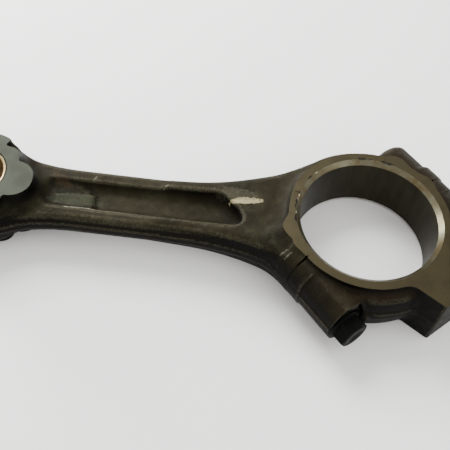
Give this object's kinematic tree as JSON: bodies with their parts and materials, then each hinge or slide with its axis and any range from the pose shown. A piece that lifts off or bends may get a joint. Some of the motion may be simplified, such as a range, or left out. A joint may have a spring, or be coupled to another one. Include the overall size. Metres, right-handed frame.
{
  "type": "connecting rod",
  "caption": "Forged I-section connecting rod with an oblique split cap held by flanged bolts and dowel pins, and a bushed piston-pin end.",
  "frame": {"origin": "under the centre of the bounding box, on the plane that both end faces lie on", "axes": "+X from the piston-pin end to the crank end, along the shank; +Z along both bores; the rod lies on its side"},
  "size_m": [0.3106, 0.1278, 0.035],
  "materials": {
    "forged_steel": "matte, grainy brown-black forging skin; bores, end faces and joint are machined bright",
    "bronze": "finely bored bronze with a pale turned rim",
    "black_steel": "black oxide, satin",
    "ground_steel": "ground"
  },
  "bodies": {
    "rod": {"rod_forging": "forged_steel", "pin_bush": "bronze", "lower_dowel_pin": "ground_steel", "upper_dowel_pin": "ground_steel"},
    "cap": {"bearing_cap": "forged_steel"},
    "lower_bolt": {"lower_cap_bolt": "black_steel"},
    "upper_bolt": {"upper_cap_bolt": "black_steel"}
  },
  "joints": [
    {"name": "cap_lift", "type": "slide", "parent": "rod", "child": "cap", "axis": [0.6691, -0.7431, 0], "range_m": [0, 0.03]},
    {"name": "lower_bolt_draw", "type": "slide", "parent": "cap", "child": "lower_bolt", "axis": [0.6691, -0.7431, 0], "range_m": [0, 0.064]},
    {"name": "upper_bolt_draw", "type": "slide", "parent": "cap", "child": "upper_bolt", "axis": [0.6691, -0.7431, 0], "range_m": [0, 0.064]}
  ]
}
